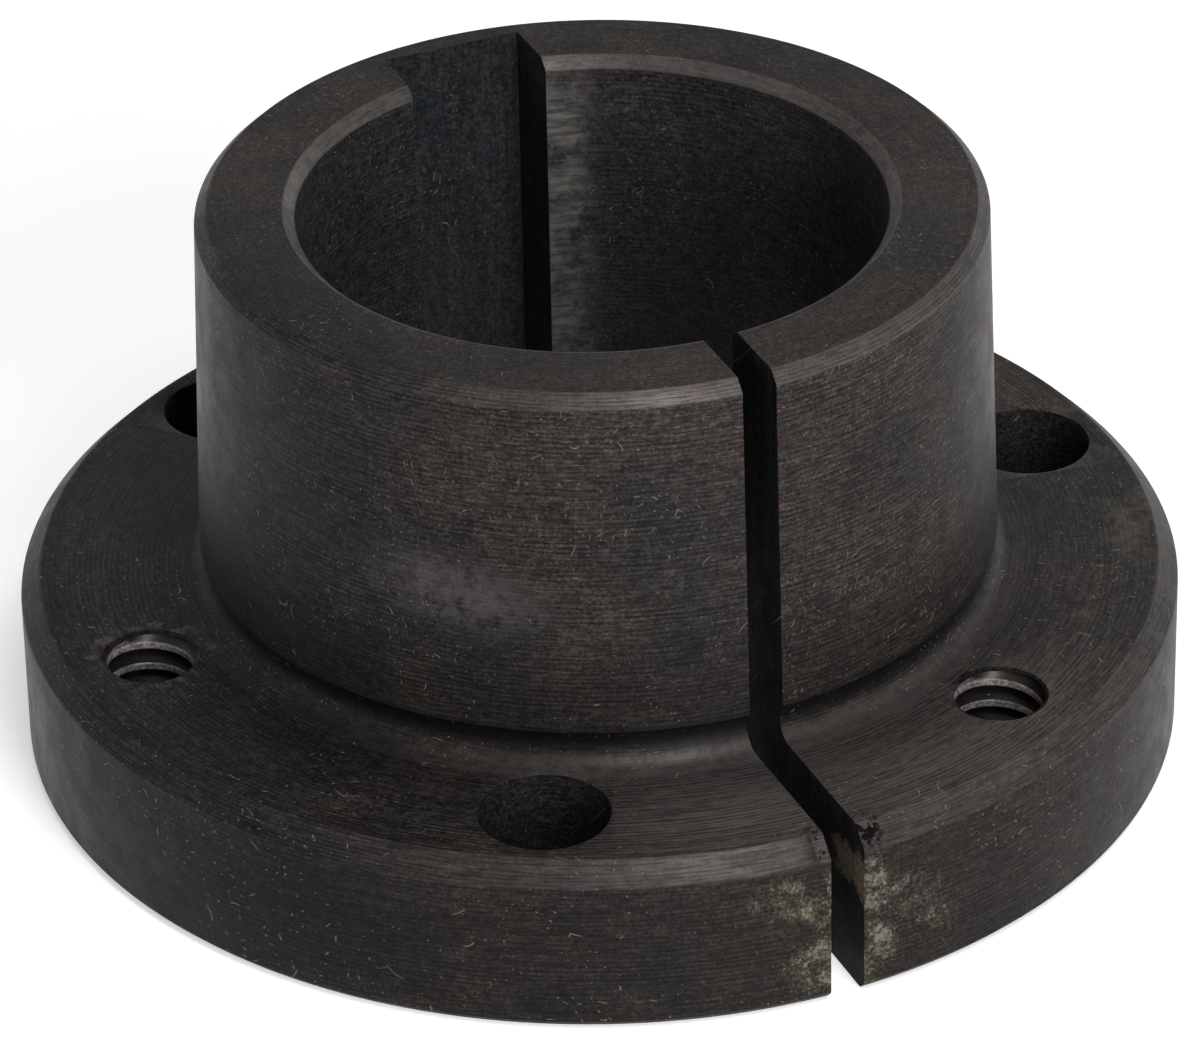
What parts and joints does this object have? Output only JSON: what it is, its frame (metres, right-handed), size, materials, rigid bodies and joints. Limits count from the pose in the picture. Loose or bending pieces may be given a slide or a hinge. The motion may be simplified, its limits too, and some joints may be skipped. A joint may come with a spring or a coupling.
{
  "type": "split taper bushing",
  "caption": "Short tapered steel sleeve with a bolting flange, a keyed bore and one full-length saw cut that lets it close on a shaft.",
  "frame": {"origin": "centre of the bore at the flange's outer face", "axes": "+Z along the bore from the flange to the small end of the barrel, -Y through the saw cut, +Y through the keyway"},
  "size_m": [0.0508, 0.0508, 0.0254],
  "materials": {
    "oxide_steel": "turned steel with a worn near-black oxide skin, satin, with fine lathe lines and a little rust"
  },
  "bodies": {
    "root": {"taper_bush": "oxide_steel"}
  },
  "joints": []
}
